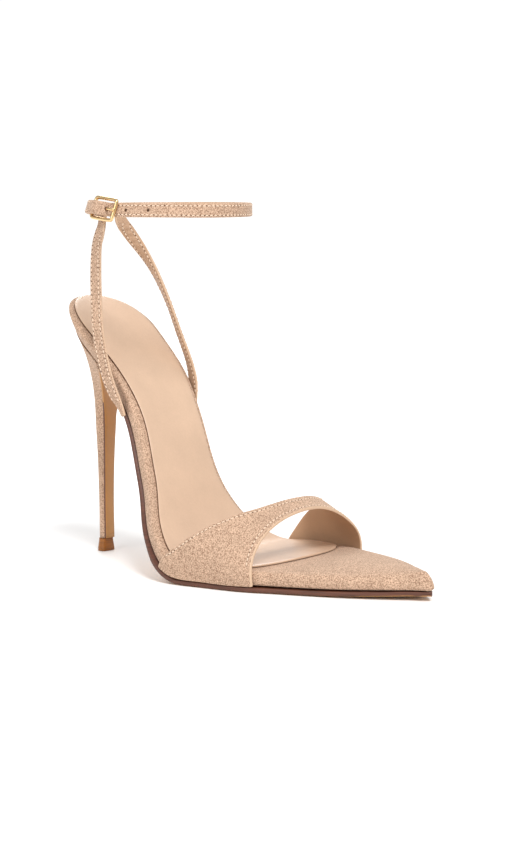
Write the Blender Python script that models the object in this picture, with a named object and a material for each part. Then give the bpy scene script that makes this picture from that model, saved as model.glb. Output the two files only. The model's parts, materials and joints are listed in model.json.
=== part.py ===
"""A high heel sandal for the right foot, at rest and with its strap buckled.

Metres, on the floor at z = 0. X runs to the toe, Y to the wearer's left, and x = 0 is the ball of the foot.
The sole is drawn flat, by its length s behind (-) or before (+) the ball, its place y across and its
height h over the board, and then bent to the side profile."""

import math

import bmesh
import bpy
import numpy as np

# Sizes of the last
REAR_LENGTH = 0.1561
FRONT_LENGTH = 0.1028
HEEL_HEIGHT = 0.1208
BALL_HALF = 0.0397
HEEL_ROUND = 0.026
TOE_ROUND = 0.004

# Thicknesses
BOARD = 0.0068
OUTSOLE = 0.0020
SHANK_SOLE = 0.0012
SOCK = 0.0009
VAMP = 0.0014
STRAP = 0.0016
GAP = 0.0003
WELD = 0.00001

# Share of the rear length (-) or front length (+) against the slope down to the toe, in degrees
SLOPE = (
    (-1.00, 29.0),
    (-0.93, 37.5),
    (-0.83, 42.0),
    (-0.72, 44.5),
    (-0.59, 55.0),
    (-0.43, 63.5),
    (-0.26, 59.0),
    (-0.13, 42.0),
    (-0.06, 24.0),
    (-0.02, 0.0),
    (0.00, 0.0),
    (0.60, 0.0),
    (1.00, 1.0),
)
# Share, then half the width as a share of the ball's half width
HALF = (
    (-1.000, 0.587),
    (-0.885, 0.607),
    (-0.778, 0.589),
    (-0.661, 0.564),
    (-0.516, 0.524),
    (-0.339, 0.554),
    (-0.174, 0.746),
    (-0.072, 0.922),
    (0.000, 1.000),
    (0.204, 0.975),
    (0.408, 0.824),
    (0.612, 0.625),
    (0.816, 0.348),
    (0.940, 0.131),
    (1.000, 0.060),
)
# Share, then how far the middle swings to the inner side, as a share of the ball's half width
SWING = (
    (-1.000, -0.020),
    (-0.885, 0.030),
    (-0.778, 0.045),
    (-0.661, 0.055),
    (-0.516, 0.023),
    (-0.339, -0.086),
    (-0.174, -0.154),
    (-0.072, -0.091),
    (0.000, 0.015),
    (0.204, 0.076),
    (0.408, 0.103),
    (0.612, 0.116),
    (0.816, 0.098),
    (0.940, 0.060),
    (1.000, 0.030),
)
# Share, then how much narrower the board's lower edge is on each side, and the board's thickness, as shares of BOARD
UNDERCUT = ((-1.0, 0.81), (-0.85, 0.65), (-0.7, 0.35), (-0.45, 0.09), (-0.2, 0.10), (0.0, 0.09), (1.0, 0.09))
THICK = ((-1.0, 1.56), (-0.6, 1.0), (0.0, 1.0), (0.3, 1.0), (0.6, 0.955), (1.0, 0.68))
# Share, then how round the board's upper edge is
EDGE_ROUND = ((-1.0, 0.0018), (0.6, 0.0018), (0.85, 0.0028), (1.0, 0.0036))
TOE_CROWN = 0.0030
SEAT_DISH = 0.0010

# Sock lining: share, then how far its edge lies inside the board's
SOCK_INSET = ((-1.0, 0.0017), (-0.93, 0.0024), (-0.80, 0.0035), (1.0, 0.0035))
SOCK_FRONT = 0.0335
SOCK_FRONT_ROUND = 0.016
SOCK_FRONT_LEAN = 0.10
SOCK_EASE = 0.0005

# Heel
BREAST = -0.1170
STEM_TOP = 0.0600
TIP_HEIGHT = 0.0058
HEEL_MIDDLE = 0.0005
# Height, front, back, half width and half width of the flat front
STEM = (
    (0.0, -0.0909, -0.0953, 0.0031, 0.0025),
    (0.0200, -0.0908, -0.0952, 0.0031, 0.0025),
    (0.0350, -0.0904, -0.0954, 0.0032, 0.0026),
    (0.0520, -0.0896, -0.0959, 0.0036, 0.0030),
    (0.0600, -0.0891, -0.0963, 0.0041, 0.0034),
)
SEAT_INSET = 0.0006
FLARE_ALONG = 2.3
FLARE_ACROSS = 2.3

# Band over the toes: angle round the foot, 0 on top and 90 on the inner side, against its rear and front edges
BAND = (
    (-90, -0.0125, 0.0325),
    (-78, -0.0036, 0.0325),
    (-67, 0.0048, 0.0325),
    (-56, 0.0118, 0.0325),
    (-44, 0.0178, 0.0327),
    (-30, 0.0228, 0.0330),
    (-15, 0.0250, 0.0335),
    (0, 0.0256, 0.0338),
    (18, 0.0240, 0.0335),
    (35, 0.0195, 0.0330),
    (50, 0.0130, 0.0322),
    (62, 0.0060, 0.0314),
    (72, -0.0009, 0.0308),
    (82, -0.0057, 0.0302),
    (90, -0.0086, 0.0300),
)
BAND_FOOT_REAR = -0.0165
BAND_FOOT_INNER = -0.0110
ARCH_HEIGHT = 0.0235
ARCH_FRONT = 0.0320
ARCH_RISE = 0.55
INNER_SLACK = 0.06
BAND_GAP = 0.00045
SKIRT_START = 0.27

# Ankle strap
STRAP_WIDTH = 0.0062
RING_MIDDLE = (-0.0461, 0.0027, 0.1599)
RING_SIZE = 0.0311
RING_LONG = 0.0030
RING_BOXY = -0.0004
RING_TURNED = 30.0
RING_TILT = -0.010
# Where the outer face looks, in degrees, against how far the strap leans in at its top
RING_LEAN = ((200, 0), (235, 18), (285, 18), (335, 0))
BUCKLE_TURN = 263.0
TAIL_TURN = 162.0
# Degrees turned from the buckle, round the ankle and over itself, against how far out the strap lies
STRAP_START = 3.5
BAR_LIFT = 0.0054
TAIL_LIFT = STRAP + GAP
STRAP_LIFT = ((-20, 0), (330, 0), (352, 0), (370, BAR_LIFT), (379, BAR_LIFT), (406, TAIL_LIFT), (480, TAIL_LIFT))
HOLE_RADIUS = 0.0008
# Degrees turned of each spare hole, and whether the strap lies over itself there
HOLES = ((328, False), (342.5, False), (386, True), (400, True))

# Side straps: the middle of the inner face, then which way the outer face looks
# Length from the foot against the share of the strap's width
FOOT_TAPER = ((0.0, 0.5), (0.005, 0.8), (0.012, 1.0), (0.2, 1.0))
OUTER_SIDE_STRAP = (
    ((-0.0558, -0.0206, 0.0680), (-0.45, -0.9)),
    ((-0.0574, -0.0213, 0.0725), (-0.32, -0.95)),
    ((-0.0590, -0.0227, 0.0765), (-0.15, -1.0)),
    ((-0.0610, -0.0236, 0.0810), (0.0, -1.0)),
    ((-0.0654, -0.0240, 0.0930), (0.12, -1.0)),
    ((-0.0685, -0.0238, 0.1063), (0.15, -1.0)),
    ((-0.0696, -0.0233, 0.1200), (0.14, -1.0)),
    ((-0.0681, -0.0246, 0.1338), (0.10, -1.0)),
    ((-0.0650, -0.0262, 0.1455), (-0.05, -1.0)),
    ((-0.0605, -0.0275, 0.1530), (-0.25, -0.97)),
)
INNER_SIDE_STRAP = (
    ((-0.0562, 0.0232, 0.0685), (0.0, 1.0)),
    ((-0.0570, 0.0236, 0.0740), (0.0, 1.0)),
    ((-0.0578, 0.0242, 0.0800), (0.15, 1.0)),
    ((-0.0600, 0.0243, 0.0880), (0.38, 0.92)),
    ((-0.0629, 0.0240, 0.0950), (0.48, 0.88)),
    ((-0.0652, 0.0233, 0.1010), (0.5, 0.87)),
    ((-0.0706, 0.0210, 0.1170), (0.52, 0.85)),
    ((-0.0752, 0.0170, 0.1310), (0.3, 0.95)),
    ((-0.0776, 0.0123, 0.1400), (-0.1, 1.0)),
    ((-0.0793, 0.0062, 0.1490), (-0.7, 0.7)),
)
OUTER_SIDE_TURN = 251.0
INNER_SIDE_TURN = 177.0
SIDE_LAP = 0.0011

# Buckle, in its own plane: length forward, height up and how far out
BUCKLE_LONG = 0.0141
BUCKLE_BACK = 0.0012
BUCKLE_TALL = 0.0094
BUCKLE_OUT = 0.0027
BUCKLE_WIRE = 0.00068
BUCKLE_CORNER = 0.0012
BUCKLE_LEAN = -6.0
BUCKLE_SWUNG = 5.0
PRONG_WIRE = 0.0005
PRONG_ROOM = 0.0003
PRONG = (
    (-0.0061, 0.00270),
    (-0.0040, 0.00270),
    (-0.0012, 0.00260),
    (0.0006, 0.00245),
    (0.0018, 0.00285),
    (0.0029, 0.00355),
    (0.0040, 0.00415),
    (0.0052, 0.00440),
    (0.0068, 0.00435),
    (0.0083, 0.00410),
)


# Finishes: colour, roughness and metallic value, and what is not suede
FINISHES = {
    "suede": ((0.66, 0.47, 0.32), 0.95, 0.0),
    "sock_leather": ((0.80, 0.57, 0.38), 0.45, 0.0),
    "sole_leather": ((0.30, 0.15, 0.07), 0.5, 0.0),
    "heel_tip_rubber": ((0.22, 0.10, 0.04), 0.5, 0.0),
    "gold_metal": ((0.83, 0.66, 0.40), 0.2, 1.0),
}
FINISH_OF = {
    "sock_lining": "sock_leather",
    "outsole": "sole_leather",
    "heel_tip": "heel_tip_rubber",
    "buckle_frame": "gold_metal",
    "buckle_prong": "gold_metal",
}


def smooth(stations, values):
    """A smooth line through the values that never overshoots them."""
    stations, values = np.asarray(stations, float), np.asarray(values, float)
    step = np.diff(stations)
    rise = np.diff(values) / step
    slope = np.concatenate(([rise[0]], np.zeros(len(stations) - 2), [rise[-1]]))
    for i in range(1, len(stations) - 1):
        if rise[i - 1] * rise[i] > 0:
            slope[i] = 2 * rise[i - 1] * rise[i] / (rise[i - 1] + rise[i])

    def value(x):
        x = np.clip(x, stations[0], stations[-1])
        i = np.clip(np.searchsorted(stations, x, side="right") - 1, 0, len(step) - 1)
        t = (x - stations[i]) / step[i]
        start = (2 * t**3 - 3 * t**2 + 1) * values[i] + (t**3 - 2 * t**2 + t) * step[i] * slope[i]
        return start + (3 * t**2 - 2 * t**3) * values[i + 1] + (t**3 - t**2) * step[i] * slope[i + 1]

    return value


def column(rows, unit, number=1):
    lengths = [row[0] * (REAR_LENGTH if row[0] < 0 else FRONT_LENGTH) for row in rows]
    return smooth(lengths, [row[number] * unit for row in rows])


slope_at = column(SLOPE, math.radians(1))
half_at = column(HALF, BALL_HALF)
swing_at = column(SWING, BALL_HALF)
undercut_at = column(UNDERCUT, BOARD)
edge_round_at = column(EDGE_ROUND, 1.0)
thick_at = column(THICK, BOARD)


def rounded(distance, radius):
    """The share of the full width that is left this near a round end."""
    t = 1 - np.clip(distance, 0, radius) / radius
    return np.sqrt(np.clip(1 - t**2, 0, 1))


# Lengths where every sole piece has a section, closest where the sole bends
BETWEEN = np.concatenate(
    [np.arange(-0.127, -0.042, 0.006), np.arange(-0.041, -0.020, 0.004), np.arange(-0.018, 0.001, 0.002),
     np.arange(0.004, 0.090, 0.006)]
)

# Side profile of the board's top
STATIONS = np.linspace(-REAR_LENGTH, FRONT_LENGTH, 1045)


def profile(steepness):
    slopes = slope_at(STATIONS) * np.where(STATIONS < 0, steepness, 1.0)
    middle = (slopes[1:] + slopes[:-1]) / 2
    step = STATIONS[1] - STATIONS[0]
    x = np.concatenate(([0.0], np.cumsum(np.cos(middle) * step)))
    z = np.concatenate(([0.0], np.cumsum(-np.sin(middle) * step)))
    x -= np.interp(0, STATIONS, x)
    z += OUTSOLE + GAP + BOARD - np.interp(0, STATIONS, z)
    return slopes, x, z


def steepness_for(height):
    low, high = 0.5, 1.5
    while high - low > 1e-6:
        middle = (low + high) / 2
        if profile(middle)[2][0] < height:
            low = middle
        else:
            high = middle
    return low


PROFILE_SLOPE, PROFILE_X, PROFILE_Z = profile(steepness_for(HEEL_HEIGHT))


def bend(s, y, h):
    slope = np.interp(s, STATIONS, PROFILE_SLOPE)
    x = np.interp(s, STATIONS, PROFILE_X) + h * np.sin(slope)
    z = np.interp(s, STATIONS, PROFILE_Z) + h * np.cos(slope)
    return np.stack(np.broadcast_arrays(x, y, z), axis=-1)


def stations(start, end, front):
    """Lengths from start to end, closer at both round ends and the same for every piece in between."""
    between = BETWEEN[(BETWEEN > -REAR_LENGTH + HEEL_ROUND + 0.002) & (BETWEEN < front - 0.013)]
    near = 1 - np.cos(np.linspace(0, math.pi / 2, 10)[:-1])
    first = start + (between[0] - start) * near
    last = end - (end - between[-1]) * near[::-1]
    return np.concatenate([first, between, last])


def outline(inset_at, front=FRONT_LENGTH, front_round=TOE_ROUND, front_inset=None):
    """Lengths, middles and half widths of the last's outline, drawn in by an inset."""
    start = -REAR_LENGTH + inset_at(-REAR_LENGTH)
    end = front - (inset_at(FRONT_LENGTH) if front_inset is None else front_inset)
    s = stations(start, end, front)
    half = (half_at(s) - inset_at(s)) * rounded(s - start, HEEL_ROUND) * rounded(end - s, front_round)
    return s, swing_at(s), np.maximum(half, 0)


def top_height(s, y):
    """How high the board's top stands over the profile: domed at the toe and dished at the heel seat."""
    half = np.maximum(half_at(s), 0.001)
    crown = TOE_CROWN * np.clip((s / FRONT_LENGTH - 0.15) / 0.4, 0, 1)
    crown = crown * np.sqrt(np.clip((FRONT_LENGTH - s) / 0.006, 0, 1))
    dish = SEAT_DISH * np.clip((-s / REAR_LENGTH - 0.45) / 0.3, 0, 1)
    return (crown - dish) * np.clip(1 - ((y - swing_at(s)) / half) ** 2, 0, 1)


# Meshes
def material(name):
    """The finish of a sub-part, made once and shared."""
    finish = FINISH_OF.get(name, "suede")
    made = bpy.data.materials.get(finish)
    if made is None:
        colour, roughness, metallic = FINISHES[finish]
        made = bpy.data.materials.new(finish)
        made.use_nodes = True
        shader = made.node_tree.nodes["Principled BSDF"]
        shader.inputs["Base Color"].default_value = (*colour, 1)
        shader.inputs["Roughness"].default_value = roughness
        shader.inputs["Metallic"].default_value = metallic
    return made


def body(name, mesh):
    bmesh.ops.remove_doubles(mesh, verts=mesh.verts, dist=WELD)
    bmesh.ops.dissolve_degenerate(mesh, edges=mesh.edges, dist=WELD / 10)
    bmesh.ops.recalc_face_normals(mesh, faces=mesh.faces)
    data = bpy.data.meshes.new(name)
    mesh.to_mesh(data)
    mesh.free()
    data.materials.append(material(name))
    made = bpy.data.objects.new(name, data)
    bpy.context.scene.collection.objects.link(made)
    return made


def loft(name, rings, caps=(True, True)):
    """One body through rings of as many points each. A ring without a cap closes on itself."""
    mesh = bmesh.new()
    rows = [[mesh.verts.new(point) for point in ring] for ring in np.asarray(rings)]
    around = len(rows[0])
    for one, two in zip(rows, rows[1:]):
        for i in range(around):
            mesh.faces.new((one[i - 1], one[i], two[i], two[i - 1]))
    if caps[0]:
        mesh.faces.new(rows[0])
    if caps[1]:
        mesh.faces.new(rows[-1][::-1])
    return body(name, mesh)


def mirrored_ring(half_ring, lean=0.0):
    """Points from the bottom's middle to the top's middle on each side, joined to one ring per station.

    Each entry is (s, middle, distance across, height at that place on each side). A lean draws the front
    back on the inner side."""

    def side(sign):
        for s, middle, across, height in half_ring:
            y = middle + sign * across
            leant = s - sign * across * lean * np.clip(s / 0.02, 0, 1)
            yield bend(leant, y, height(leant, y))

    return np.stack(list(side(-1)) + list(side(1))[-2:0:-1], axis=1)


# Sole pieces
def insole_board():
    corner = 0.0008
    ring = []
    s, middle, half = outline(lambda s: undercut_at(s) + corner)
    for across in (0, 0.55, 1):
        ring.append((s, middle, half * across, lambda s, y: -thick_at(s)))
    s, middle, half = outline(undercut_at)
    ring.append((s, middle, half, lambda s, y: corner - thick_at(s)))
    for angle in (0, 45, 90):
        drawn_in, rise = 1 - math.cos(math.radians(angle)), math.sin(math.radians(angle))
        s, middle, half = outline(lambda s, drawn_in=drawn_in: edge_round_at(s) * drawn_in)
        ring.append((s, middle, half, lambda s, y, rise=rise: rise * top_height(s, y) - edge_round_at(s) * (1 - rise)))
    for across in (0.72, 0.4, 0):
        ring.append((s, middle, half * across, top_height))
    return loft("insole_board", mirrored_ring(ring), caps=(False, False))


def sock_lining():
    inset_at = column(SOCK_INSET, 1.0)
    s, middle, half = outline(inset_at, SOCK_FRONT, SOCK_FRONT_ROUND, 0.0)
    ring = [(s, middle, half * across, lambda s, y: top_height(s, y) + GAP) for across in (0, 0.6, 1)]
    ring.append((s, middle, half, lambda s, y: top_height(s, y) + GAP + SOCK * 0.6))
    s, middle, half = outline(lambda s: inset_at(s) + SOCK_EASE, SOCK_FRONT, SOCK_FRONT_ROUND, SOCK_EASE)
    for across in (1, 0.66, 0.33, 0):
        ring.append((s, middle, half * across, lambda s, y: top_height(s, y) + GAP + SOCK))
    return loft("sock_lining", mirrored_ring(ring, SOCK_FRONT_LEAN), caps=(False, False))


# Heel
stem_front = smooth([row[0] for row in STEM], [row[1] for row in STEM])
stem_back = smooth([row[0] for row in STEM], [row[2] for row in STEM])
stem_half = smooth([row[0] for row in STEM], [row[3] for row in STEM])
stem_flat = smooth([row[0] for row in STEM], [row[4] for row in STEM])
ROUND_STEPS = np.linspace(0, 1, 11)


def stem_ring(height):
    """A rounded ring with a flat front: from the outer front corner round the back to the inner one."""
    front, back = stem_front(height), stem_back(height)
    half, flat = stem_half(height), stem_flat(height)
    corner = math.asin(flat / half)
    long = (front - back) / (1 + math.cos(corner))
    angle = corner + (math.pi - corner) * ROUND_STEPS
    x = back + long + long * np.cos(angle)
    y = half * np.sin(angle)
    side = np.stack([x, HEEL_MIDDLE - y, np.full(len(x), height)], axis=1)
    other = np.stack([x, HEEL_MIDDLE + y, np.full(len(x), height)], axis=1)
    return close_front(side, other)


def close_front(side, other):
    """Joins the two sides and adds three points along the straight front between them."""
    front = [other[0] + (side[0] - other[0]) * share for share in (0.25, 0.5, 0.75)]
    return np.concatenate([side, other[-2::-1], front])


def seat_ring():
    start = -REAR_LENGTH + undercut_at(-REAR_LENGTH) + SEAT_INSET
    s = BREAST + (start - BREAST) * np.sin(ROUND_STEPS * math.pi / 2)
    half = (half_at(s) - undercut_at(s) - SEAT_INSET) * rounded(s - start, HEEL_ROUND)
    under = -thick_at(s) - GAP
    return close_front(bend(s, swing_at(s) - half, under), bend(s, swing_at(s) + half, under))


def heel_rings():
    rings = [stem_ring(height) for height in np.linspace(TIP_HEIGHT + GAP, STEM_TOP, 6)]
    low, high = rings[-1], seat_ring()
    for t in np.linspace(0, 1, 15)[1:]:
        ring = low + (high - low) * t
        ring[:, 0] = low[:, 0] + (high[:, 0] - low[:, 0]) * t**FLARE_ALONG
        ring[:, 1] = low[:, 1] + (high[:, 1] - low[:, 1]) * t**FLARE_ACROSS
        rings.append(ring)
    return rings


def heel():
    return loft("heel", heel_rings())


def heel_tip():
    rings = []
    for height, growth in ((0.0, 0.0009), (0.0006, 0.0011), (TIP_HEIGHT - 0.0012, 0.0004), (TIP_HEIGHT, 0.0003)):
        ring = stem_ring(0.0)
        ring[:, 2] = height
        middle = np.array([(ring[:, 0].min() + ring[:, 0].max()) / 2, HEEL_MIDDLE, height])
        away = ring - middle
        rings.append(ring + away / np.linalg.norm(away, axis=1, keepdims=True) * growth)
    return loft("heel_tip", rings)


# Outsole, which runs from the toe under the shank and down the front of the heel
def sole_path():
    """Points (x, z, middle, half width, thickness) of the outsole's upper face, from the toe to the heel tip."""
    s, middle, half = outline(lambda s: undercut_at(s) - band_margin(s) + toe_margin(s))
    keep = s > BREAST + 0.0035
    s, middle, half = s[keep][::-1], middle[keep][::-1], half[keep][::-1]
    upper = bend(s, middle, -thick_at(s) - GAP)
    thick = SHANK_SOLE + (OUTSOLE - SHANK_SOLE) * np.clip((s + 0.060) / 0.045, 0, 1)
    under = np.stack([upper[:, 0], upper[:, 2], middle, half, thick], axis=1)
    down = []
    for ring in heel_rings()[::-1]:
        front, other = ring[0], ring[2 * len(ROUND_STEPS) - 2]
        half = (other[1] - front[1]) / 2 + 0.0002
        down.append((front[0] + GAP, front[2], (other[1] + front[1]) / 2, half, SHANK_SOLE))
    down = np.array(down)
    down[:, 1] -= np.linspace(GAP, 0, len(down))
    return under, down


def band_margin(s):
    """The outsole stands a little proud of the board's lower edge, and more where the band comes down to it."""
    return 0.0005 + 0.0007 * np.clip((s + 0.026) / 0.008, 0, 1) * np.clip((0.040 - s) / 0.008, 0, 1)


def toe_margin(s):
    return 0.0010 * np.clip((s - 0.080) / 0.020, 0, 1)


def joined_path():
    """The two parts of the sole's path with a small round between them."""
    under, down = sole_path()
    corner = down[0].copy()
    down = down[np.linalg.norm(down[:, :2] - corner[:2], axis=1) > 0.0035]
    start, end = under[-1], down[0]
    turn = [(1 - t) ** 2 * start + 2 * t * (1 - t) * corner + t**2 * end for t in (0.2, 0.4, 0.6, 0.8)]
    return np.concatenate([under, turn, down])


def outsole():
    path = joined_path()
    way = np.gradient(path[:, :2], axis=0)
    way /= np.linalg.norm(way, axis=1, keepdims=True)
    out = np.stack([-way[:, 1], way[:, 0]], axis=1)
    rings = []
    for (x, z, middle, half, thick), (out_x, out_z) in zip(path, out):
        flat = max(half - 0.0004, half * 0.4)
        ring = [(0, 0), (half, 0), (half, thick - 0.0003), (flat, thick), (0, thick)]
        ring += [(-across, deep) for across, deep in ring[3:0:-1]]
        rings.append([(x + out_x * deep, middle + across, z + out_z * deep) for across, deep in ring])
    return loft("outsole", rings, caps=(False, True))


# Band over the toes
band_rear = smooth([row[0] for row in BAND], [row[1] for row in BAND])
band_front = smooth([row[0] for row in BAND], [row[2] for row in BAND])


# Where the board's upper and lower edges lie, by the length along the board
EDGE = np.linspace(-0.050, 0.060, 600)
UPPER_EDGE = bend(EDGE, 0 * EDGE, 0 * EDGE)
LOWER_EDGE = bend(EDGE, 0 * EDGE, -thick_at(EDGE))


def band_point(x, turn, depth):
    """A point on the band, by its angle round the foot or by its share down the board's side, at a depth in it."""
    at = np.interp(x, UPPER_EDGE[:, 0], EDGE)
    base = np.interp(x, UPPER_EDGE[:, 0], UPPER_EDGE[:, 2])
    if abs(turn) <= 90:
        angle = math.radians(turn)
        fullness = 1 - INNER_SLACK * math.sin(2 * angle) ** 2 if turn > 0 else 1
        half = half_at(at) + BAND_GAP + VAMP - depth
        height = ARCH_HEIGHT + max(ARCH_FRONT - x, 0) * ARCH_RISE - depth
        return x, swing_at(at) + half * fullness * math.sin(angle), base + height * fullness * math.cos(angle)
    drop = abs(turn) - 90
    taper = max(drop - SKIRT_START, 0) / (1 - SKIRT_START)
    here = at + (np.interp(x, LOWER_EDGE[:, 0], EDGE) - at) * drop
    half = half_at(here) - undercut_at(here) * taper + BAND_GAP + VAMP - depth
    height = base + (np.interp(x, LOWER_EDGE[:, 0], LOWER_EDGE[:, 2]) + 0.0001 - base) * drop
    return x, swing_at(here) + half * np.sign(turn), height


def band_edges(turn):
    drop = max(abs(turn) - 90, 0)
    rear, front = band_rear(turn), band_front(turn)
    foot = BAND_FOOT_REAR if turn < 0 else BAND_FOOT_INNER
    return rear + (foot - rear) * drop, front


def vamp_band():
    drops = [90 + SKIRT_START, 90.6, 91]
    turns = [-turn for turn in drops[::-1]] + list(np.linspace(-90, 90, 29)) + drops
    shares = np.linspace(0, 1, 8)
    rings = []
    for turn in turns:
        rear, front = band_edges(turn)
        outer = [band_point(rear + (front - rear) * share, turn, 0) for share in shares]
        inner = [band_point(rear + (front - rear) * share, turn, VAMP) for share in shares]
        rings.append(outer + inner[::-1])
    return loft("vamp_band", rings)


# Ankle strap
def ring_point(turn, out=0.0, up=0.0):
    """A point by the way the strap's outer face looks there, in degrees from the toe towards the inner side."""
    a, b = math.radians(turn), math.radians(turn - RING_TURNED)
    reach = RING_SIZE + RING_LONG * math.cos(2 * b) + RING_BOXY * math.cos(4 * b)
    sweep = -2 * RING_LONG * math.sin(2 * b) - 4 * RING_BOXY * math.sin(4 * b)
    x = RING_MIDDLE[0] + reach * math.cos(a) - sweep * math.sin(a)
    y = RING_MIDDLE[1] + reach * math.sin(a) + sweep * math.cos(a)
    return np.array([x, y, RING_MIDDLE[2] + RING_TILT * (y + 0.030)]) + ring_way(turn) * out + ring_rise(turn) * up


ring_lean = smooth([row[0] for row in RING_LEAN], [math.radians(row[1]) for row in RING_LEAN])


def ring_way(turn):
    a, lean = math.radians(turn), ring_lean(turn % 360)
    return np.array([math.cos(a) * math.cos(lean), math.sin(a) * math.cos(lean), math.sin(lean)])


def ring_rise(turn):
    a, lean = math.radians(turn), ring_lean(turn % 360)
    return np.array([-math.cos(a) * math.sin(lean), -math.sin(a) * math.sin(lean), math.cos(lean)])


def strap_ring(place, outward, along, width=STRAP_WIDTH):
    """One section of a strap round the middle of its inner face, with its long edges eased."""
    outward = outward - along * np.dot(outward, along)
    outward = outward / np.linalg.norm(outward)
    across = np.cross(outward, along)
    half, ease = width / 2, STRAP * 0.3
    shape = ((-half, ease), (-half, STRAP - ease), (-half + ease, STRAP), (half - ease, STRAP))
    shape += ((half, STRAP - ease), (half, ease), (half - ease, 0), (-half + ease, 0))
    return [place + across * a + outward * b for a, b in shape]


def strap_rings(places, outwards, widths):
    places = np.asarray(places)
    along = np.gradient(places, axis=0)
    along /= np.linalg.norm(along, axis=1, keepdims=True)
    return [strap_ring(*section) for section in zip(places, outwards, along, widths)]


strap_lift = smooth([row[0] for row in STRAP_LIFT], [row[1] for row in STRAP_LIFT])
foot_taper = smooth([row[0] for row in FOOT_TAPER], [row[1] for row in FOOT_TAPER])


def ankle_strap():
    """One strap from the buckle round the heel and the front of the ankle, through the buckle and over itself."""
    tail_end = BUCKLE_TURN - TAIL_TURN + 360
    turned = np.concatenate(
        [np.linspace(STRAP_START, 330, 64)[:-1], np.linspace(330, 400, 32)[:-1], np.linspace(400, tail_end, 11)]
    )
    widths = STRAP_WIDTH * np.clip(0.45 + (tail_end - turned) * 0.11, 0, 1)
    places = [ring_point(BUCKLE_TURN - turn, strap_lift(turn)) for turn in turned]
    made = loft("ankle_strap", strap_rings(places, [ring_way(BUCKLE_TURN - turn) for turn in turned], widths))
    combine(made, side_strap("outer", OUTER_SIDE_STRAP, OUTER_SIDE_TURN), "UNION")
    combine(made, side_strap("inner", INNER_SIDE_STRAP, INNER_SIDE_TURN), "UNION")
    combine(made, strap_holes(), "DIFFERENCE")
    combine(made, prong("prong_room", PRONG_WIRE + PRONG_ROOM), "DIFFERENCE")
    return made


def side_strap(name, table, turn):
    """A strap from the shank's edge to the back of the ankle strap, where it laps its inner face."""
    places = [row[0] for row in table]
    outwards = [(*row[1], 0.0) for row in table]
    for up in (-0.0036, 0.0022):
        places.append(ring_point(turn, -SIDE_LAP, up))
        outwards.append(ring_way(turn))
    places, outwards = np.array(places), np.array(outwards)
    run = np.concatenate(([0.0], np.cumsum(np.linalg.norm(np.diff(places, axis=0), axis=1))))
    fine = np.linspace(0, run[-1], 30)
    place = np.stack([flowing(run, places[:, axis])(fine) for axis in range(3)], axis=1)
    outward = np.stack([flowing(run, outwards[:, axis])(fine) for axis in range(3)], axis=1)
    return loft(name + "_side_strap", strap_rings(place, outward, STRAP_WIDTH * foot_taper(fine)))


def flowing(stations, values):
    """A smooth line through the values that keeps its way at each of them."""
    slope = np.gradient(values, stations)

    def value(x):
        i = np.clip(np.searchsorted(stations, x, side="right") - 1, 0, len(stations) - 2)
        step = stations[i + 1] - stations[i]
        t = (x - stations[i]) / step
        start = (2 * t**3 - 3 * t**2 + 1) * values[i] + (t**3 - 2 * t**2 + t) * step * slope[i]
        return start + (3 * t**2 - 2 * t**3) * values[i + 1] + (t**3 - t**2) * step * slope[i + 1]

    return value


def combine(base, other, operation):
    other.hide_render = True
    modifier = base.modifiers.new(other.name, "BOOLEAN")
    modifier.operation = operation
    modifier.solver = "EXACT"
    modifier.object = other


def strap_holes():
    mesh = bmesh.new()
    for turned, doubled in HOLES:
        lift = float(strap_lift(turned))
        low = ring_point(BUCKLE_TURN - turned, lift - GAP / 2 if doubled else -0.001)
        high = ring_point(BUCKLE_TURN - turned, lift + STRAP + 0.001)
        add_tube(mesh, [round_ring(place, high - low, HOLE_RADIUS, 12) for place in (low, high)])
    return body("strap_holes", mesh)


def round_ring(place, along, radius, count):
    along = along / np.linalg.norm(along)
    side = np.cross(along, (0.0, 0.0, 1.0))
    side /= np.linalg.norm(side)
    up = np.cross(side, along)
    angles = np.arange(count) * 2 * math.pi / count
    return [place + radius * (side * math.cos(a) + up * math.sin(a)) for a in angles]


def add_tube(mesh, rings, closed=False):
    rows = [[mesh.verts.new(point) for point in ring] for ring in rings]
    pairs = list(zip(rows, rows[1:] + rows[:1])) if closed else list(zip(rows, rows[1:]))
    for one, two in pairs:
        for i in range(len(one)):
            mesh.faces.new((one[i - 1], one[i], two[i], two[i - 1]))
    if not closed:
        mesh.faces.new(rows[0])
        mesh.faces.new(rows[-1][::-1])


# Buckle
def buckle_place(forward, up, out):
    """A point in the buckle's own plane, which leans down to the toe and stands off the strap at its rear end."""
    outward, rise = ring_way(BUCKLE_TURN + BUCKLE_SWUNG), ring_rise(BUCKLE_TURN + BUCKLE_SWUNG)
    lean = math.radians(BUCKLE_LEAN)
    along = np.cross(rise, outward) * math.cos(lean) + rise * math.sin(lean)
    return ring_point(BUCKLE_TURN) + along * (forward - BUCKLE_BACK) + np.cross(outward, along) * up + outward * out


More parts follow.
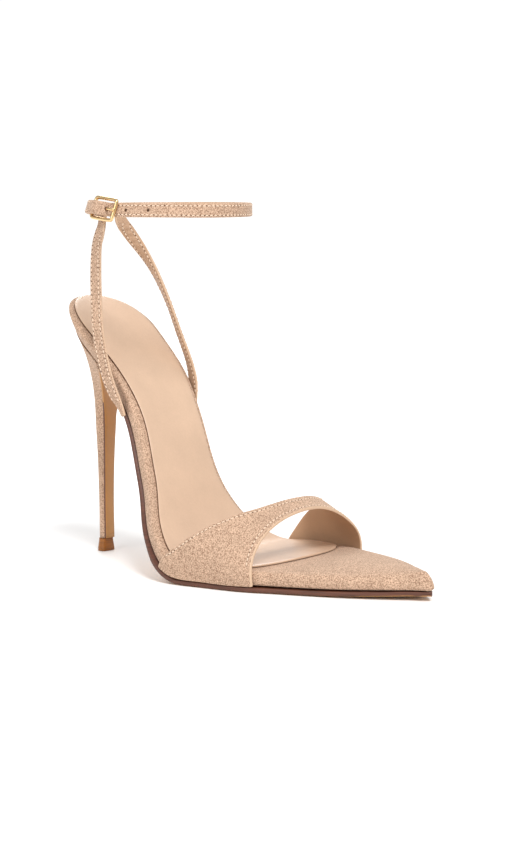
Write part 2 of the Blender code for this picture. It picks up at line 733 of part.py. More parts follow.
def buckle_frame():
    long, tall = BUCKLE_LONG / 2 - BUCKLE_CORNER, BUCKLE_TALL / 2 - BUCKLE_CORNER
    path = []
    for corner in (45, 135, 225, 315):
        middle = math.radians(corner)
        for turn in (-45, -15, 15, 45):
            a = math.radians(corner + turn)
            forward = math.copysign(long, math.cos(middle)) + BUCKLE_CORNER * math.cos(a)
            up = math.copysign(tall, math.sin(middle)) + BUCKLE_CORNER * math.sin(a)
            path.append(buckle_place(forward, up, BUCKLE_OUT))
    outward = ring_way(BUCKLE_TURN + BUCKLE_SWUNG)
    rings = []
    for i, place in enumerate(path):
        along = path[(i + 1) % len(path)] - path[i - 1]
        along /= np.linalg.norm(along)
        across = np.cross(outward, along)
        angles = np.arange(8) * math.pi / 4 + math.pi / 8
        rings.append([place + BUCKLE_WIRE * 1.08 * (across * math.cos(a) + outward * math.sin(a)) for a in angles])
    mesh = bmesh.new()
    add_tube(mesh, rings, closed=True)
    return body("buckle_frame", mesh)


def prong(name, radius):
    places = np.array([buckle_place(forward, 0.0, out) for forward, out in PRONG])
    along = np.gradient(places, axis=0)
    mesh = bmesh.new()
    sizes = [radius] * (len(places) - 1) + [radius * 0.7]
    add_tube(mesh, [round_ring(place, way, size, 8) for place, way, size in zip(places, along, sizes)])
    return body(name, mesh)


def main():
    for startup in list(bpy.data.objects):
        bpy.data.objects.remove(startup)
    insole_board()
    sock_lining()
    heel()
    heel_tip()
    outsole()
    vamp_band()
    ankle_strap()
    buckle_frame()
    prong("buckle_prong", PRONG_WIRE)


main()
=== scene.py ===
"""Looks of a high heel sandal for the right foot: suede, smooth linings, stitched edges, buckle and studio.

Metres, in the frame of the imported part: X to the toe, Y to the wearer's left, Z up, the floor at z = 0.
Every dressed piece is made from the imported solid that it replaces, so it stays where that solid is."""

import json
import math

import bmesh
import bpy
import numpy as np
from mathutils import Matrix, Vector
from mathutils.bvhtree import BVHTree

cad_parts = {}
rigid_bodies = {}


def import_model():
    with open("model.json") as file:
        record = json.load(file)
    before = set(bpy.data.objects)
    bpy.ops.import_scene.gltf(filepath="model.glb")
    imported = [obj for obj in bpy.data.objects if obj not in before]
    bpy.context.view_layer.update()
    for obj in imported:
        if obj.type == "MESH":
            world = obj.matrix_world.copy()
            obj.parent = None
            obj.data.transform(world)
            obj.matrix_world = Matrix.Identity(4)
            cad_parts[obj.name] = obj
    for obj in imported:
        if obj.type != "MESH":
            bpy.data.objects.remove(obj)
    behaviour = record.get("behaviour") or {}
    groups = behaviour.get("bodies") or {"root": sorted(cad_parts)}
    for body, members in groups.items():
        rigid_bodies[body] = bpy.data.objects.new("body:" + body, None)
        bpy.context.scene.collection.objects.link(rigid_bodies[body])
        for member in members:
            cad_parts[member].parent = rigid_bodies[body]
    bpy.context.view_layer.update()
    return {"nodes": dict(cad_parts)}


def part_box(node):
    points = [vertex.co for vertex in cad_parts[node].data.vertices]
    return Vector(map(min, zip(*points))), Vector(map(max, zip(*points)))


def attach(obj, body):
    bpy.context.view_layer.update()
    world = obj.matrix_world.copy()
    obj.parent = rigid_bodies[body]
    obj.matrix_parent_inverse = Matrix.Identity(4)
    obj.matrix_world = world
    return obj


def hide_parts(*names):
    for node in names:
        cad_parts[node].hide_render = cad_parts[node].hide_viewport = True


for startup in list(bpy.data.objects):
    bpy.data.objects.remove(startup)

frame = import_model()
BODY = "root"

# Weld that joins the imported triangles, the angles that pair them to quads, and where an edge stays sharp
WELD = 0.000004
FLAT_ANGLE = math.radians(30)
SKEW_ANGLE = math.radians(80)
SHARP_ANGLE = math.radians(50)
# Even mesh of the ankle strap, and how its edges are eased
STRAP_VOXEL = 0.00034
EASE_ROUNDS = 4
EASE_SHARE = 0.5

# Ring of the ankle strap, as in the part: its middle and the support lengths of its outline
RING_MIDDLE = Vector((-0.0461, 0.0027, 0.1599))
RING_SIZE = 0.0311
RING_LONG = 0.0030
RING_BOXY = -0.0004
RING_TURNED = 30.0
RING_TILT = -0.010
RING_LEVEL_Y = -0.030
# Where the outer face looks, in degrees, against how far the strap leans in at its top
LEAN_TURNS = (200, 235, 285, 335)
LEAN_DEGREES = (0, 18, 18, 0)
BUCKLE_TURN = 263.0
STRAP_THICK = 0.0016
# The ring lies over this height, and the side straps' levels run up to it
RING_FROM = 0.1560
LOWEST_LEVEL = 0.0690
HIGHEST_LEVEL = 0.1545
LEVEL_STEP = 0.0015
# Degrees turned from the buckle of the spare holes and of the prong's hole, and the sizes of the pads of
# painted shade in their mouths
SPARE_HOLES = (328, 342.5)
SPARE_HOLE_SIZE = 0.00078
SPARE_HOLE_OUT = 0.55
PRONG_HOLE = (354.5, 360.0)
PRONG_MOUTH_LONG = 0.0012
PRONG_MOUTH_WIDE = 0.0009
PRONG_MOUTH_LIFT = 0.00008
WIRE_FULLER = 0.00018

# Stitches: the thread, its sections along half its length, and how it rises and dips
STITCH_LENGTH = 0.00145
STITCH_PITCH = 0.00205
STITCH_RADIUS = 0.00028
STITCH_SUNK = 0.00002
STITCH_SECTIONS = (-1.0, -0.8, -0.35, 0.35, 0.8, 1.0)
STITCH_SIDES = 6
STITCH_FLAT = 0.8
STITCH_THINNEST = 0.06
STITCH_RISE = 0.55
STITCH_DIP = 0.9
# Dark pads of painted shade in the needle holes between the stitches
HOLE_LONG = 0.00034
HOLE_WIDE = 0.00024
HOLE_LIFT = 0.00003
HOLE_SIDES = 8
# The pressed channel: it reaches this many widths, and so many points are pressed at once
CHANNEL_DEPTH = 0.00016
CHANNEL_WIDTH = 0.00045
CHANNEL_REACH = 3
CHANNEL_BLOCK = 2000
# Rows: their distance from the strap's middle or the band's edge, and where they start and stop
STRAP_ROW = 0.00205
BAND_ROW = 0.00190
RING_ROW_START = -88
RING_ROW_STOP = BUCKLE_TURN - 15
RING_ROW_STEP = 1.5
SIDE_ROW_START = 0.0750
BAND_ROW_TURN = 86
BAND_ROW_POINTS = 60
# How far off a surface the search for it starts, and how deep it goes where that isn't twice as far
STITCH_SEEK = 0.003
SIDE_SEEK = 0.006
RING_SEEK = 0.012
RING_SEEK_DEEP = 0.02
BAND_SEEK = 0.08

# Studio
FLOOR_SIZE = 4.0
FLOOR_DROP = 0.0002
SKY_LIGHT = 0.60
SKY_SEEN = 1.05

# Camera, worked out from the photograph
PHOTO_TALL = 864
CAMERA_TURN = math.radians(42.99)
CAMERA_RISE = math.radians(7.09)
CAMERA_ROLL = math.radians(-0.71)
CAMERA_DISTANCE = 1.0
FOCAL_PIXELS = 2260
SENSOR_TALL = 36.0
NEAREST_SEEN = 0.05
AIM_ACROSS = 0.00941
AIM_UP = 0.00208
AIM_BASE = Vector((-0.010, 0.0, 0.060))


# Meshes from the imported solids
def welded(node):
    """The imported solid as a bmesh, its triangles joined and facing out."""
    mesh = bmesh.new()
    mesh.from_mesh(frame["nodes"][node].data)
    bmesh.ops.remove_doubles(mesh, verts=mesh.verts, dist=WELD)
    bmesh.ops.recalc_face_normals(mesh, faces=mesh.faces)
    return mesh


def piece_from(mesh, name, materials):
    """A smooth shaded object from a bmesh."""
    data = bpy.data.meshes.new(name)
    mesh.to_mesh(data)
    mesh.free()
    made = bpy.data.objects.new(name, data)
    bpy.context.scene.collection.objects.link(made)
    for material in materials:
        data.materials.append(material)
    for face in data.polygons:
        face.use_smooth = True
    return made


def applied(obj):
    """The object with its modifiers turned into its mesh."""
    graph = bpy.context.evaluated_depsgraph_get()
    data = bpy.data.meshes.new_from_object(obj.evaluated_get(graph))
    obj.modifiers.clear()
    obj.data = data
    for face in data.polygons:
        face.use_smooth = True
    return obj


def remeshed(node, name, materials):
    """The solid as an even fine mesh with its edges eased."""
    made = piece_from(welded(node), name, materials)
    remesh = made.modifiers.new("even", "REMESH")
    remesh.mode = "VOXEL"
    remesh.voxel_size = STRAP_VOXEL
    ease = made.modifiers.new("ease", "SMOOTH")
    ease.factor = EASE_SHARE
    ease.iterations = EASE_ROUNDS
    return applied(made)


def subdivided(node, name, levels, materials, sort_face=None, crease=1.0):
    """The solid as a smooth mesh from its own quads. sort_face gives the material number of a face."""
    mesh = welded(node)
    bmesh.ops.join_triangles(
        mesh, faces=mesh.faces, angle_face_threshold=FLAT_ANGLE, angle_shape_threshold=SKEW_ANGLE
    )
    sharp = mesh.edges.layers.float.get("crease_edge") or mesh.edges.layers.float.new("crease_edge")
    for edge in mesh.edges:
        if len(edge.link_faces) == 2 and edge.calc_face_angle(0) > SHARP_ANGLE:
            edge[sharp] = crease
    if sort_face:
        for face in mesh.faces:
            face.material_index = sort_face(face)
    made = piece_from(mesh, name, materials)
    smooth = made.modifiers.new("smooth", "SUBSURF")
    smooth.levels = levels
    smooth.render_levels = levels
    return applied(made)


def points_of(obj):
    flat = np.empty(len(obj.data.vertices) * 3, np.float32)
    obj.data.vertices.foreach_get("co", flat)
    return flat.reshape(-1, 3).astype(float)


def normals_of(obj):
    flat = np.empty(len(obj.data.vertices) * 3, np.float32)
    obj.data.vertex_normals.foreach_get("vector", flat)
    return flat.reshape(-1, 3).astype(float)


def surface_of(obj):
    """The object's faces as a tree that rays can hit."""
    points = [vertex.co for vertex in obj.data.vertices]
    return BVHTree.FromPolygons(points, [tuple(face.vertices) for face in obj.data.polygons])


def cut(node, point, normal):
    """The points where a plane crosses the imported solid's edges."""
    mesh = frame["nodes"][node].data
    points = np.array([vertex.co for vertex in mesh.vertices])
    side = (points - np.array(point)) @ np.array(normal)
    ends = np.array([edge.vertices for edge in mesh.edges])
    one, two = side[ends[:, 0]], side[ends[:, 1]]
    crossing = (one < 0) != (two < 0)
    share = (one[crossing] / (one[crossing] - two[crossing]))[:, None]
    start, end = points[ends[crossing, 0]], points[ends[crossing, 1]]
    return start + (end - start) * share


def press_channel(obj, path):
    """Presses the mesh in along a line of points."""
    points, normals = points_of(obj), normals_of(obj)
    path = np.asarray(path)
    reach = CHANNEL_REACH * CHANNEL_WIDTH
    low, high = path.min(0) - reach, path.max(0) + reach
    near = np.nonzero(((points > low) & (points < high)).all(1))[0]
    for block in np.array_split(near, max(1, len(near) // CHANNEL_BLOCK)):
        away = np.linalg.norm(points[block, None] - path[None], axis=2).min(1)
        depth = CHANNEL_DEPTH * np.exp(-((away / CHANNEL_WIDTH) ** 2))
        points[block] -= normals[block] * depth[:, None]
    obj.data.vertices.foreach_set("co", points.astype(np.float32).ravel())
    obj.data.update()


# Stitches
def even_steps(path, step):
    """Points along a line at an even step, with the way that the line goes there."""
    path = np.asarray(path)
    run = np.concatenate(([0.0], np.cumsum(np.linalg.norm(np.diff(path, axis=0), axis=1))))
    count = max(int(run[-1] / step), 2)
    at = (np.arange(count) + 0.5) * run[-1] / count
    places = np.stack([np.interp(at, run, path[:, axis]) for axis in range(3)], axis=1)
    return places, np.gradient(places, axis=0)


def add_stitch(mesh, place, along, out):
    """One stitch: a short rounded thread, a little flat, that dips in at both ends."""
    along, out = Vector(along).normalized(), Vector(out).normalized()
    side = out.cross(along).normalized()
    turns = [math.tau * i / STITCH_SIDES for i in range(STITCH_SIDES)]
    rows = []
    for t in STITCH_SECTIONS:
        thick = STITCH_RADIUS * math.sqrt(max(1 - t**4, STITCH_THINNEST))
        lift = STITCH_RADIUS * (STITCH_RISE - STITCH_DIP * t * t)
        middle = place + along * (t * STITCH_LENGTH / 2) + out * lift
        ring = [side * thick * math.cos(a) + out * thick * STITCH_FLAT * math.sin(a) for a in turns]
        rows.append([mesh.verts.new(middle + step) for step in ring])
    for one, two in zip(rows, rows[1:]):
        for i in range(STITCH_SIDES):
            mesh.faces.new((one[i - 1], one[i], two[i], two[i - 1]))
    mesh.faces.new(rows[0])
    mesh.faces.new(rows[-1][::-1])


def add_shade_pad(mesh, place, along, out, long=HOLE_LONG, wide=HOLE_WIDE):
    """A thin dark oval pad in the second material: painted shade in the mouth of a hole."""
    along, out = Vector(along).normalized(), Vector(out).normalized()
    side = out.cross(along).normalized()
    turns = [math.tau * i / HOLE_SIDES for i in range(HOLE_SIDES)]
    ring = [along * long * math.cos(a) + side * wide * math.sin(a) for a in turns]
    low = [mesh.verts.new(place + step - out * HOLE_LIFT) for step in ring]
    high = [mesh.verts.new(place + step + out * HOLE_LIFT) for step in ring]
    for i in range(HOLE_SIDES):
        mesh.faces.new((low[i - 1], low[i], high[i], high[i - 1])).material_index = 1
    mesh.faces.new(low[::-1]).material_index = 1
    mesh.faces.new(high).material_index = 1


def stitch_row(name, obj, rows, materials):
    """Stitches in pressed channels on a piece's surface, with a dark pad of painted shade in each needle
    hole between them. Each row is its points and their outward ways.
    """
    mesh = bmesh.new()
    for path, _ in rows:
        press_channel(obj, path)
    surface = surface_of(obj)
    for path, outs in rows:
        for step, (place, along) in enumerate(zip(*even_steps(path, STITCH_PITCH / 2))):
            out = Vector(outs[np.linalg.norm(path - place, axis=1).argmin()])
            hit = surface.ray_cast(Vector(place) + out * STITCH_SEEK, -out, STITCH_SEEK * 2)
            if hit[0] is None:
                continue
            if step % 2:
                add_shade_pad(mesh, hit[0], along, hit[1])
            else:
                add_stitch(mesh, hit[0] - hit[1] * STITCH_SUNK, along, hit[1])
    bmesh.ops.recalc_face_normals(mesh, faces=mesh.faces)
    made = piece_from(mesh, name, materials)
    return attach(made, BODY)


# Material nodes
def new_material(name):
    made = bpy.data.materials.new(name)
    made.use_nodes = True
    return made, made.node_tree, made.node_tree.nodes["Principled BSDF"]


def set_inputs(shader, values):
    for socket, value in values.items():
        shader.inputs[socket].default_value = value


def noise(tree, scale, detail, roughness, stretch=(1, 1, 1)):
    place = tree.nodes.new("ShaderNodeTexCoord")
    mapping = tree.nodes.new("ShaderNodeMapping")
    mapping.inputs["Scale"].default_value = stretch
    made = tree.nodes.new("ShaderNodeTexNoise")
    set_inputs(made, {"Scale": scale, "Detail": detail, "Roughness": roughness})
    tree.links.new(place.outputs["Object"], mapping.inputs["Vector"])
    tree.links.new(mapping.outputs["Vector"], made.inputs["Vector"])
    return made.outputs["Fac"]


def ramp(tree, value, stops):
    """A colour ramp. Each stop is its place and its colour."""
    made = tree.nodes.new("ShaderNodeValToRGB")
    elements = made.color_ramp.elements
    while len(elements) < len(stops):
        elements.new(0.5)
    for element, (at, colour) in zip(elements, stops):
        element.position = at
        element.color = (*colour, 1)
    tree.links.new(value, made.inputs["Fac"])
    return made.outputs["Color"]


def grey(low, high, at=(0.3, 0.7)):
    """Ramp stops from one grey to another."""
    return [(at[0], (low, low, low)), (at[1], (high, high, high))]


def tone(colour, share):
    """The colour made darker or lighter."""
    return tuple(min(c * share, 1.0) for c in colour)


def multiplied(tree, one, two):
    made = tree.nodes.new("ShaderNodeMix")
    made.data_type = "RGBA"
    made.blend_type = "MULTIPLY"
    made.inputs["Factor"].default_value = 1.0
    tree.links.new(one, made.inputs["A"])
    tree.links.new(two, made.inputs["B"])
    return made.outputs["Result"]


def bumped(tree, shader, height, strength, distance, before=None):
    """Bump on the shader's normal, over an earlier bump where there is one."""
    made = tree.nodes.new("ShaderNodeBump")
    set_inputs(made, {"Strength": strength, "Distance": distance})
    tree.links.new(height, made.inputs["Height"])
    if before is not None:
        tree.links.new(before, made.inputs["Normal"])
    tree.links.new(made.outputs["Normal"], shader.inputs["Normal"])
    return made.outputs["Normal"]


def suede(name, colour):
    """A short soft nap: speckled, brushed in patches, with a soft light rim."""
    made, tree, shader = new_material(name)
    red, green, blue = colour
    shade = (red * 0.58, green * 0.50, blue * 0.45)
    light = tone(colour, 1.36)
    coarse = ramp(tree, noise(tree, 1900, 2, 0.5), [(0.36, shade), (0.5, colour), (0.63, light)])
    fine = ramp(tree, noise(tree, 3600, 2, 0.6), grey(0.80, 1.0, (0.35, 0.6)))
    patches = ramp(tree, noise(tree, 150, 3, 0.6, (1, 1.4, 0.8)), grey(0.90, 1.0))
    brushed = ramp(tree, noise(tree, 40, 2, 0.5), grey(0.93, 1.0))
    speckled = multiplied(tree, coarse, fine)
    patched = multiplied(tree, speckled, patches)
    tree.links.new(multiplied(tree, patched, brushed), shader.inputs["Base Color"])
    nap = bumped(tree, shader, noise(tree, 1300, 3, 0.6), 0.7, 0.0003)
    bumped(tree, shader, noise(tree, 3000, 3, 0.7), 0.5, 0.00015, nap)
    set_inputs(shader, {"Roughness": 0.95, "Specular IOR Level": 0.15, "Sheen Weight": 0.25})
    set_inputs(shader, {"Sheen Roughness": 0.5, "Sheen Tint": (1.0, 0.88, 0.76, 1)})
    return made


def smooth_leather(name, colour, gloss, wear=0.93):
    """Dressed leather: faint clouds, fine pores and creases, and an uneven soft shine."""
    made, tree, shader = new_material(name)
    worn, polished = tone(colour, wear), tone(colour, 1.04)
    clouds = ramp(tree, noise(tree, 60, 4, 0.6), [(0.3, worn), (0.6, colour), (0.8, polished)])
    fine = ramp(tree, noise(tree, 1200, 3, 0.6), grey(0.95, 1.0))
    tree.links.new(multiplied(tree, clouds, fine), shader.inputs["Base Color"])
    shine = ramp(tree, noise(tree, 120, 4, 0.6), grey(gloss - 0.06, gloss + 0.08))
    tree.links.new(shine, shader.inputs["Roughness"])
    creases = bumped(tree, shader, noise(tree, 70, 3, 0.5, (1, 2.2, 1)), 0.10, 0.0006)
    bumped(tree, shader, noise(tree, 2200, 2, 0.5), 0.12, 0.0001, creases)
    set_inputs(shader, {"Specular IOR Level": 0.5})
    return made


def edge_paint(name, colour):
    """Painted and waxed cut edge, with fine lines along it."""
    made, tree, shader = new_material(name)
    dark, bright = tone(colour, 0.55), tone(colour, 1.25)
    streaks = noise(tree, 500, 3, 0.6, (0.15, 0.15, 3))
    lines = ramp(tree, streaks, [(0.3, dark), (0.6, colour), (0.8, bright)])
    tree.links.new(lines, shader.inputs["Base Color"])
    bumped(tree, shader, noise(tree, 900, 3, 0.6, (0.3, 0.3, 2)), 0.2, 0.0002)
    set_inputs(shader, {"Roughness": 0.42})
    return made


def thread(name, colour):
    """Twisted thread."""
    made, tree, shader = new_material(name)
    strands = ramp(tree, noise(tree, 5000, 2, 0.5), [(0.3, tone(colour, 0.8)), (0.7, colour)])
    tree.links.new(strands, shader.inputs["Base Color"])
    bumped(tree, shader, noise(tree, 6000, 1, 0.5), 0.3, 0.00008)
    set_inputs(shader, {"Roughness": 0.7})
    return made


def gold(name, colour):
    """Polished pale gold with faint handling marks."""
    made, tree, shader = new_material(name)
    set_inputs(shader, {"Base Color": (*colour, 1), "Metallic": 1.0})
    marks = ramp(tree, noise(tree, 700, 4, 0.6), grey(0.10, 0.18))
    tree.links.new(marks, shader.inputs["Roughness"])
    return made


def matt_white(name):
    """The studio's floor, hardly clouded."""
    made, tree, shader = new_material(name)
    tint = ramp(tree, noise(tree, 3, 2, 0.5), grey(0.95, 0.97))
    tree.links.new(tint, shader.inputs["Base Color"])
    set_inputs(shader, {"Roughness": 0.9, "Specular IOR Level": 0.0})
    return made


SUEDE = suede("beige_suede", (0.570, 0.385, 0.270))
EDGE = smooth_leather("cut_edge", (0.66, 0.46, 0.31), gloss=0.6)
SOCK = smooth_leather("sock_leather", (0.620, 0.430, 0.300), gloss=0.34)
# Near-black brown on the sock's cut margin: painted shade for the gap between the sock and the suede
SOCK_RIM_SHADE = smooth_leather("sock_rim_painted_shade", (0.15, 0.08, 0.045), gloss=0.5)
LINING = smooth_leather("strap_lining", (0.50, 0.315, 0.195), gloss=0.42)
SOLE_UNDER = smooth_leather("sole_underside", (0.50, 0.245, 0.075), gloss=0.35, wear=0.86)
SOLE_EDGE = edge_paint("sole_edge_paint", (0.125, 0.040, 0.020))
TIP = edge_paint("heel_tip_stack", (0.30, 0.100, 0.010))
THREAD = thread("beige_thread", (0.84, 0.65, 0.49))
GOLD = gold("pale_gold", (0.80, 0.57, 0.29))
# Near-black brown: painted shade inside the needle holes and the strap's holes
HOLE_SHADE = smooth_leather("hole_painted_shade", (0.11, 0.05, 0.025), gloss=0.8)


# Board, sock, heel and sole
def dress(made, node):
    """Puts a piece in its solid's place."""
    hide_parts(node)
    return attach(made, BODY)


def board():
    made = subdivided("insole_board", "wrapped_board", 2, [SUEDE], crease=0.3)
    dress(made, "insole_board")


def sock_face(face):
    """1 for the cut margin at the sides and the rear, painted dark as the shade in the gap beside the suede;
    0 for the leather and its front edge.
    """
    middle, normal = face.calc_center_median(), face.normal
    at_rear = middle.x < -0.094 and normal.x < -0.3
    return 1 if middle.x < 0.024 and (abs(normal.y) > 0.6 or at_rear) else 0


def sock():
    made = subdivided("sock_lining", "sock", 2, [SOCK, SOCK_RIM_SHADE], sock_face)
    dress(made, "sock_lining")


def heel():
    made = subdivided("heel", "covered_heel", 2, [SUEDE])
    dress(made, "heel")


def tip():
    made = subdivided("heel_tip", "top_piece", 2, [TIP])
    dress(made, "heel_tip")


def sole_face(face):
    """0 for the leather that shows below the shank and before the heel, 1 for the painted edge and ledge."""
    middle, normal = face.calc_center_median(), face.normal
    on_heel = middle.x < -0.06 and normal.x > 0.5 and normal.z < 0.3
    return 0 if normal.z < -0.3 or normal.x < -0.5 or on_heel else 1


def sole():
    made = subdivided("outsole", "leather_sole", 2, [SOLE_UNDER, SOLE_EDGE], sole_face)
    dress(made, "outsole")


# Band over the toes, round a line through its middle just over its feet
BAND_LOW, BAND_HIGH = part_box("vamp_band")
BAND_AXIS = Vector((0.0, (BAND_LOW.y + BAND_HIGH.y) / 2, BAND_LOW.z + 0.0070))


def band_face(face):
    """1 for the lining on the inside, 2 for the cut edges, 0 for the suede."""
    away = face.calc_center_median() - BAND_AXIS
    away.x = 0
    if abs(face.normal.x) > 0.7:
        return 2
    return 1 if face.normal.dot(away.normalized()) < -0.3 else 0


def band_line(surface, front):
    """A line round the band beside its front or rear edge, on its outer face."""
    places, outs = [], []
    for turn in np.linspace(-BAND_ROW_TURN, BAND_ROW_TURN, BAND_ROW_POINTS):
        a = math.radians(turn)
        way = Vector((0, math.sin(a), math.cos(a)))
        crossing = cut("vamp_band", BAND_AXIS, Vector((0, math.cos(a), -math.sin(a))))
        crossing = crossing[(crossing - np.array(BAND_AXIS)) @ np.array(way) > 0]
        x = crossing[:, 0].max() - BAND_ROW if front else crossing[:, 0].min() + BAND_ROW
        hit = surface.ray_cast(BAND_AXIS + way * BAND_SEEK + Vector((x, 0, 0)), -way)
        if hit[0] is not None:
            places.append(hit[0])
            outs.append(way)
    return np.array(places), outs


def toe_band():
    band = subdivided("vamp_band", "toe_band", 3, [SUEDE, LINING, EDGE], band_face, crease=0.35)
    surface = surface_of(band)
    rows = [band_line(surface, True), band_line(surface, False)]
    stitch_row("band_stitches", band, rows, [THREAD, HOLE_SHADE])
    dress(band, "vamp_band")


# Ankle strap and side straps
def ring_ways(turn):
    """The outward way and the upward way of the ankle strap, by the turn of its outer face."""
    a = math.radians(turn)
    lean = math.radians(np.interp(turn % 360, LEAN_TURNS, LEAN_DEGREES))
    level = Vector((math.cos(a), math.sin(a), 0.0))
    up = Vector((0.0, 0.0, 1.0))
    return level * math.cos(lean) + up * math.sin(lean), up * math.cos(lean) - level * math.sin(lean)


def ring_point(turn, out=0.0, up=0.0):
    """A point on the ankle ring's inner face, or off it by a step out and up."""
    a, b = math.radians(turn), math.radians(turn - RING_TURNED)
    reach = RING_SIZE + RING_LONG * math.cos(2 * b) + RING_BOXY * math.cos(4 * b)
    sweep = -2 * RING_LONG * math.sin(2 * b) - 4 * RING_BOXY * math.sin(4 * b)
    x = RING_MIDDLE.x + reach * math.cos(a) - sweep * math.sin(a)
    y = RING_MIDDLE.y + reach * math.sin(a) + sweep * math.cos(a)
    z = RING_MIDDLE.z + RING_TILT * (y - RING_LEVEL_Y)
    outward, upward = ring_ways(turn)
    return Vector((x, y, z)) + outward * out + upward * up


def ring_line(surface, up):
    """A line round the ankle strap's outer face, at a height over its middle."""
    places, outs = [], []
    for turn in np.arange(RING_ROW_START, RING_ROW_STOP, RING_ROW_STEP):
        way = ring_ways(turn)[0]
        hit = surface.ray_cast(ring_point(turn, RING_SEEK, up), -way, RING_SEEK_DEEP)
        if hit[0] is not None:
            places.append(hit[0])
            outs.append(way)
    return np.array(places), outs


def strap_section(z, inner):
    """The middle, the way across and the outward way of a side strap at a height."""
    crossing = cut("ankle_strap", (0, 0, z), (0, 0, 1))
    crossing = crossing[(crossing[:, 1] > 0) == inner]
    middle = (crossing.min(0) + crossing.max(0)) / 2
    across = np.linalg.eigh(np.cov((crossing - middle)[:, :2].T))[1][:, 1]
    out = np.array([across[1], -across[0]])
    if out[1] * (1 if inner else -1) < 0:
        out = -out
    return middle, np.array([*across, 0]), np.array([*out, 0])


LEVELS = np.arange(LOWEST_LEVEL, HIGHEST_LEVEL, LEVEL_STEP)
SECTIONS = {inner: [strap_section(z, inner) for z in LEVELS] for inner in (False, True)}


def side_lines(surface, inner, facing):
    """The two stitch lines down a side strap, on its outer face (1) or its inner face (-1)."""
    lines = []
    for side in (-1, 1):
        places, outs, last = [], [], None
        for z, (middle, across, out) in zip(LEVELS, SECTIONS[inner]):
            if z < SIDE_ROW_START:
                continue
            if last is not None and across @ last < 0:
                across = -across
            last = across
            way = Vector(out) * facing
            start = Vector(middle + across * STRAP_ROW * side) + way * SIDE_SEEK
            hit = surface.ray_cast(start, -way, SIDE_SEEK * 2)
            if hit[0] is not None:
                places.append(hit[0])
                outs.append(way)
        lines.append((np.array(places), outs))
    return lines


def strap_outward(place):
    """The outward way of the strap that a place belongs to: the ring, or a side strap below it."""
    if place.z > RING_FROM:
        turn = math.degrees(math.atan2(place.y - RING_MIDDLE.y, place.x - RING_MIDDLE.x))
        return ring_ways(turn)[0]
    at = min(int((place.z - LEVELS[0]) / LEVEL_STEP + 0.5), len(LEVELS) - 1)
    return Vector(SECTIONS[place.y > 0][max(at, 0)][2])


def strap_faces(obj):
    """Gives the faces that look at the foot the lining's material and the narrow sides the cut edge's."""
    for face in obj.data.polygons:
        facing = face.normal.dot(strap_outward(face.center))
        face.material_index = 0 if facing > 0.45 else 1 if facing < -0.45 else 2


def buckled_strap():
    """The dressed strap. It returns the strap's surface as it was before its stitches."""
    strap = remeshed("ankle_strap", "buckled_strap", [SUEDE, LINING, EDGE])
    strap_faces(strap)
    surface = surface_of(strap)
    rows = [ring_line(surface, up) for up in (-STRAP_ROW, STRAP_ROW)]
    for inner in (False, True):
        for facing in (1, -1):
            rows += side_lines(surface, inner, facing)
    stitch_row("strap_stitches", strap, rows, [THREAD, HOLE_SHADE])
    dress(strap, "ankle_strap")
    return surface


# Buckle, and painted shade in the strap's holes
def buckle():
    """The frame and the prong, their wire a little fuller than the solids'."""
    for node, name in (("buckle_frame", "gold_frame"), ("buckle_prong", "gold_prong")):
        made = subdivided(node, name, 2, [GOLD], crease=0.0)
        fuller = points_of(made) + normals_of(made) * WIRE_FULLER
        made.data.vertices.foreach_set("co", fuller.astype(np.float32).ravel())
        dress(made, node)


def spare_hole_shade(mesh, turn):
    """Painted shade: a dark pad in the mouth of a spare hole."""
    along = ring_point(turn + 1) - ring_point(turn)
    place = ring_point(turn, STRAP_THICK * SPARE_HOLE_OUT)
    add_shade_pad(mesh, place, along, ring_ways(turn)[0], SPARE_HOLE_SIZE, SPARE_HOLE_SIZE)


def prong_hole_shade(mesh, surface):
    """Painted shade: a dark pad in the mouth of the hole that the prong comes out of, on the rising strap.
    """
    hits = []
    for turned in PRONG_HOLE:
        turn = BUCKLE_TURN - turned
        way = ring_ways(turn)[0]
        hits.append(surface.ray_cast(ring_point(turn, RING_SEEK), -way, RING_SEEK_DEEP)[0])
    along = hits[1] - hits[0]
    outward, upward = ring_ways(BUCKLE_TURN)
    out = along.cross(upward)
    out *= math.copysign(1, out.dot(outward))
    place = (hits[0] + hits[1]) / 2 + out.normalized() * PRONG_MOUTH_LIFT
    add_shade_pad(mesh, place, along, out, PRONG_MOUTH_LONG, PRONG_MOUTH_WIDE)


# Dark pads of painted shade in the strap's holes
def strap_hole_shades(surface):
    mesh = bmesh.new()
    for turned in SPARE_HOLES:
        spare_hole_shade(mesh, BUCKLE_TURN - turned)
    prong_hole_shade(mesh, surface)
    bmesh.ops.recalc_face_normals(mesh, faces=mesh.faces)
    made = piece_from(mesh, "strap_hole_shade_pads", [THREAD, HOLE_SHADE])
    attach(made, BODY)


toe_band()
strap_surface = buckled_strap()
board()
sock()
heel()
tip()
sole()
buckle()
strap_hole_shades(strap_surface)


# Studio
def floor():
    mesh = bmesh.new()
    bmesh.ops.create_grid(mesh, x_segments=8, y_segments=8, size=FLOOR_SIZE)
    made = piece_from(mesh, "studio_floor", [matt_white("floor_white")])
    made.location.z = -FLOOR_DROP


def area_light(name, place, aim, size, power):
    data = bpy.data.lights.new(name, "AREA")
    data.shape = "DISK"
    data.size = size
    data.energy = power
    made = bpy.data.objects.new(name, data)
    made.location = place
    made.rotation_euler = (Vector(aim) - Vector(place)).to_track_quat("-Z", "Y").to_euler()
    bpy.context.scene.collection.objects.link(made)


def sun(name, toward, strength, width):
    data = bpy.data.lights.new(name, "SUN")
    data.energy = strength
    data.angle = math.radians(width)
    made = bpy.data.objects.new(name, data)
    made.rotation_euler = Vector(toward).to_track_quat("Z", "Y").to_euler()
    bpy.context.scene.collection.objects.link(made)


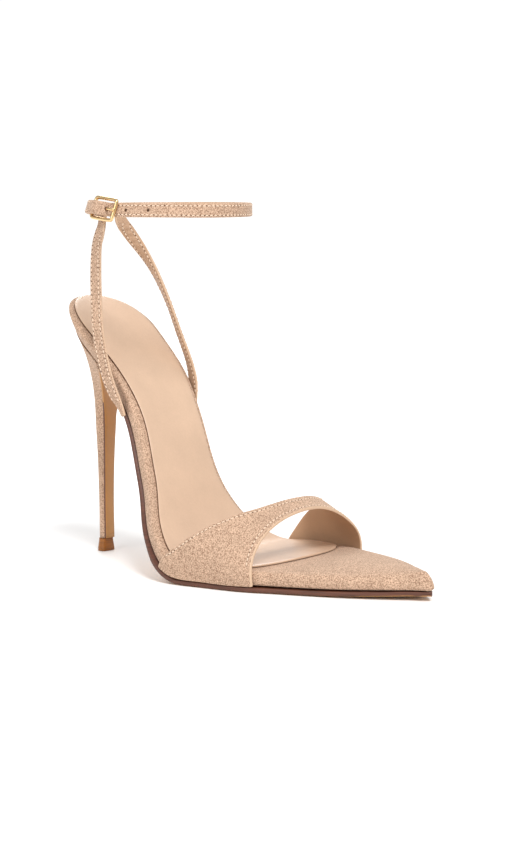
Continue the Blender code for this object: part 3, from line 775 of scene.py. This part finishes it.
def world():
    """A white studio, seen brighter than it lights, so that the shoe keeps its shade and its shadow."""
    made = bpy.data.worlds.new("studio")
    made.use_nodes = True
    tree = made.node_tree
    background = tree.nodes["Background"]
    background.inputs["Color"].default_value = (1, 1, 1, 1)
    rays = tree.nodes.new("ShaderNodeLightPath")
    strength = tree.nodes.new("ShaderNodeMapRange")
    set_inputs(strength, {"To Min": SKY_LIGHT, "To Max": SKY_SEEN})
    tree.links.new(rays.outputs["Is Camera Ray"], strength.inputs["Value"])
    tree.links.new(strength.outputs["Result"], background.inputs["Strength"])
    bpy.context.scene.world = made


def camera():
    """The photograph's view: turned round from the outer side, raised and a little rolled."""
    back = Vector((
        math.sin(CAMERA_TURN) * math.cos(CAMERA_RISE),
        -math.cos(CAMERA_TURN) * math.cos(CAMERA_RISE),
        math.sin(CAMERA_RISE),
    ))
    level = Vector((math.cos(CAMERA_TURN), math.sin(CAMERA_TURN), 0))
    upward = back.cross(level)
    right = level * math.cos(CAMERA_ROLL) + upward * math.sin(CAMERA_ROLL)
    up = upward * math.cos(CAMERA_ROLL) - level * math.sin(CAMERA_ROLL)
    aim = AIM_BASE + right * AIM_ACROSS + up * AIM_UP
    data = bpy.data.cameras.new("photo_view")
    data.sensor_fit = "VERTICAL"
    data.sensor_height = SENSOR_TALL
    data.lens = FOCAL_PIXELS / PHOTO_TALL * data.sensor_height
    data.clip_start = NEAREST_SEEN
    made = bpy.data.objects.new("photo_view", data)
    turn = Matrix((right, up, back)).transposed().to_4x4()
    made.matrix_world = Matrix.Translation(aim + back * CAMERA_DISTANCE) @ turn
    bpy.context.scene.collection.objects.link(made)
    bpy.context.scene.camera = made


floor()
sun("key", toward=(0.95, -0.42, 1.30), strength=2.25, width=22)
area_light("fill", place=(0.1, -1.5, 0.8), aim=(0, 0, 0.06), size=1.2, power=7)
area_light("rim", place=(-0.9, 0.9, 1.1), aim=(-0.03, 0, 0.08), size=0.8, power=9)
world()
camera()
bpy.context.scene.view_settings.view_transform = "Standard"
